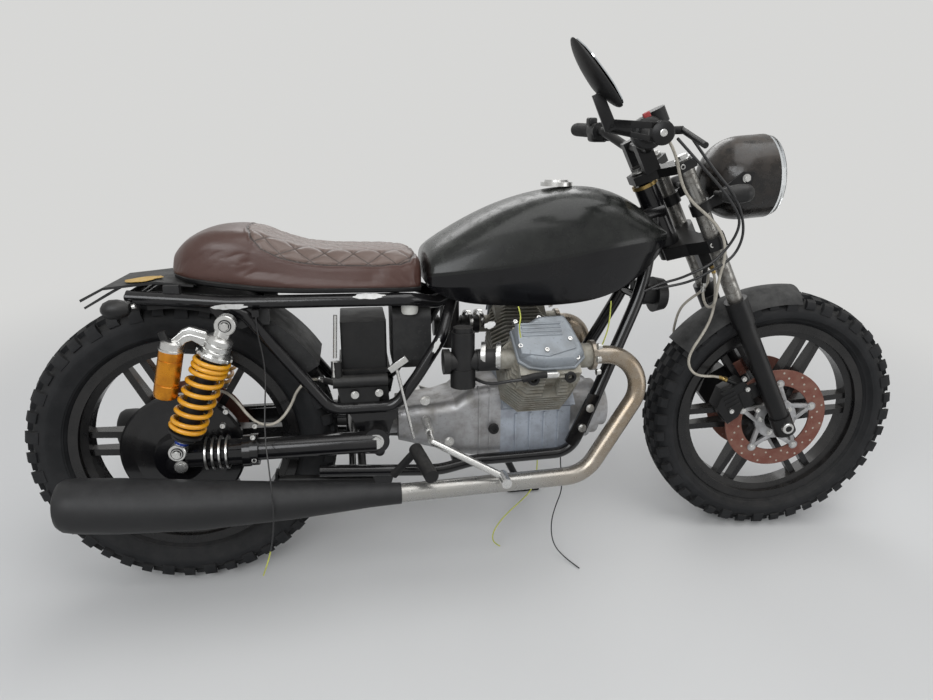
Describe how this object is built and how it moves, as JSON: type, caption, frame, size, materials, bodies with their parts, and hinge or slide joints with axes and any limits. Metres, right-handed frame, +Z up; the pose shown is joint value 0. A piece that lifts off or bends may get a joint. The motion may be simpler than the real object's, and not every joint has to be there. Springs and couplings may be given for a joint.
{
  "type": "cafe racer motorcycle",
  "caption": "Cafe racer motorcycle with a transverse V-twin, shaft drive, knobby tyres, black tank and quilted brown seat, leaning on its side stand",
  "frame": {"origin": "floor level, midway along the length and width of the motorcycle as it leans on its side stand", "axes": "+X to the front wheel, +Y to the motorcycle's left, +Z up from the floor"},
  "size_m": [2.0832, 0.7154, 1.2016],
  "materials": {
    "frame_paint": "gloss black, scuffed",
    "tank_paint": "dusty black with a grey upper panel",
    "wheel_paint": "satin black",
    "engine_alloy": "bare cast, oxidised and oily",
    "cover_alloy": "dull cast",
    "header_steel": "heat tinted",
    "silencer_black": "matte heat paint",
    "bright_steel": "worn",
    "fork_steel": "pitted",
    "tyre_rubber": "dusty",
    "black_rubber": "matte",
    "seat_leather": "quilted, brown",
    "spring_yellow": "gloss yellow",
    "reservoir_amber": "gold anodised",
    "disc_rust": "brown rust",
    "black_plastic": "textured",
    "lamp_glass": "clear",
    "black_alloy": "satin black",
    "brake_hose": "beige braid under a clear skin",
    "loose_wire": "plastic sleeve"
  },
  "bodies": {
    "machine": {"main_frame": "frame_paint", "seat_frame": "frame_paint", "cradle_rails": "frame_paint", "fuel_tank": "tank_paint", "fuel_cap": "bright_steel", "seat": "seat_leather", "rear_mudguard": "black_plastic", "rear_indicators": "black_plastic", "crankcase": "engine_alloy", "timing_cover": "cover_alloy", "gearbox": "engine_alloy", "cylinders": "engine_alloy", "cylinder_heads": "engine_alloy", "rocker_covers": "cover_alloy", "carburettors": "black_rubber", "airbox": "black_plastic", "battery": "black_plastic", "rear_master": "black_alloy", "headers": "header_steel", "silencers": "silencer_black", "swingarm": "frame_paint", "final_drive": "black_alloy", "shock_bodies": "bright_steel", "shock_springs": "spring_yellow", "shock_reservoirs": "reservoir_amber", "footrests": "black_rubber", "foot_pedals": "bright_steel", "horn": "black_plastic", "rear_brake_hose": "brake_hose", "rear_wire": "loose_wire", "front_wire": "loose_wire", "middle_wire": "loose_wire"},
    "steering_fork": {"lower_yoke": "black_alloy", "upper_yoke": "black_alloy", "handlebar": "frame_paint", "fork_stanchions": "fork_steel", "fork_sliders": "frame_paint", "front_mudguard": "black_plastic", "hand_grips": "black_rubber", "bar_controls": "black_plastic", "mirror": "black_plastic", "headlamp_shell": "black_plastic", "headlamp_lens": "lamp_glass", "lamp_bracket": "black_alloy", "front_indicators": "black_plastic", "front_calipers": "black_alloy", "upper_brake_hose": "brake_hose", "right_brake_hose": "brake_hose", "left_brake_hose": "brake_hose"},
    "front_wheel": {"front_wheel_rim": "wheel_paint", "front_tyre": "tyre_rubber", "front_discs": "disc_rust"},
    "rear_wheel": {"rear_wheel_rim": "wheel_paint", "rear_tyre": "tyre_rubber", "rear_disc": "disc_rust"},
    "side_stand_arm": {"side_stand": "frame_paint"},
    "centre_stand_frame": {"centre_stand": "frame_paint"}
  },
  "joints": [
    {"name": "steering", "type": "hinge", "parent": "machine", "child": "steering_fork", "pos_m": [0.4092, -0.01197, 0.76811], "axis": [-0.4584, 0.1467, 0.8765], "range_deg": [-26, 38]},
    {"name": "front_wheel_spin", "type": "hinge", "parent": "steering_fork", "child": "front_wheel", "pos_m": [0.72415, -0.09476, 0.31693], "axis": [0.0913, 0.9888, -0.1177], "continuous": true},
    {"name": "rear_wheel_spin", "type": "hinge", "parent": "machine", "child": "rear_wheel", "pos_m": [-0.70952, -0.08541, 0.32956], "axis": [0, 0.9863, -0.165], "continuous": true},
    {"name": "side_stand_fold", "type": "hinge", "parent": "machine", "child": "side_stand_arm", "pos_m": [0.02046, 0.01194, 0.23249], "axis": [0, 0.9806, 0.1958], "range_deg": [0, 103]},
    {"name": "centre_stand_fold", "type": "hinge", "parent": "machine", "child": "centre_stand_frame", "pos_m": [-0.27954, -0.10117, 0.23527], "axis": [0, -0.9863, 0.165], "range_deg": [0, 100]}
  ]
}
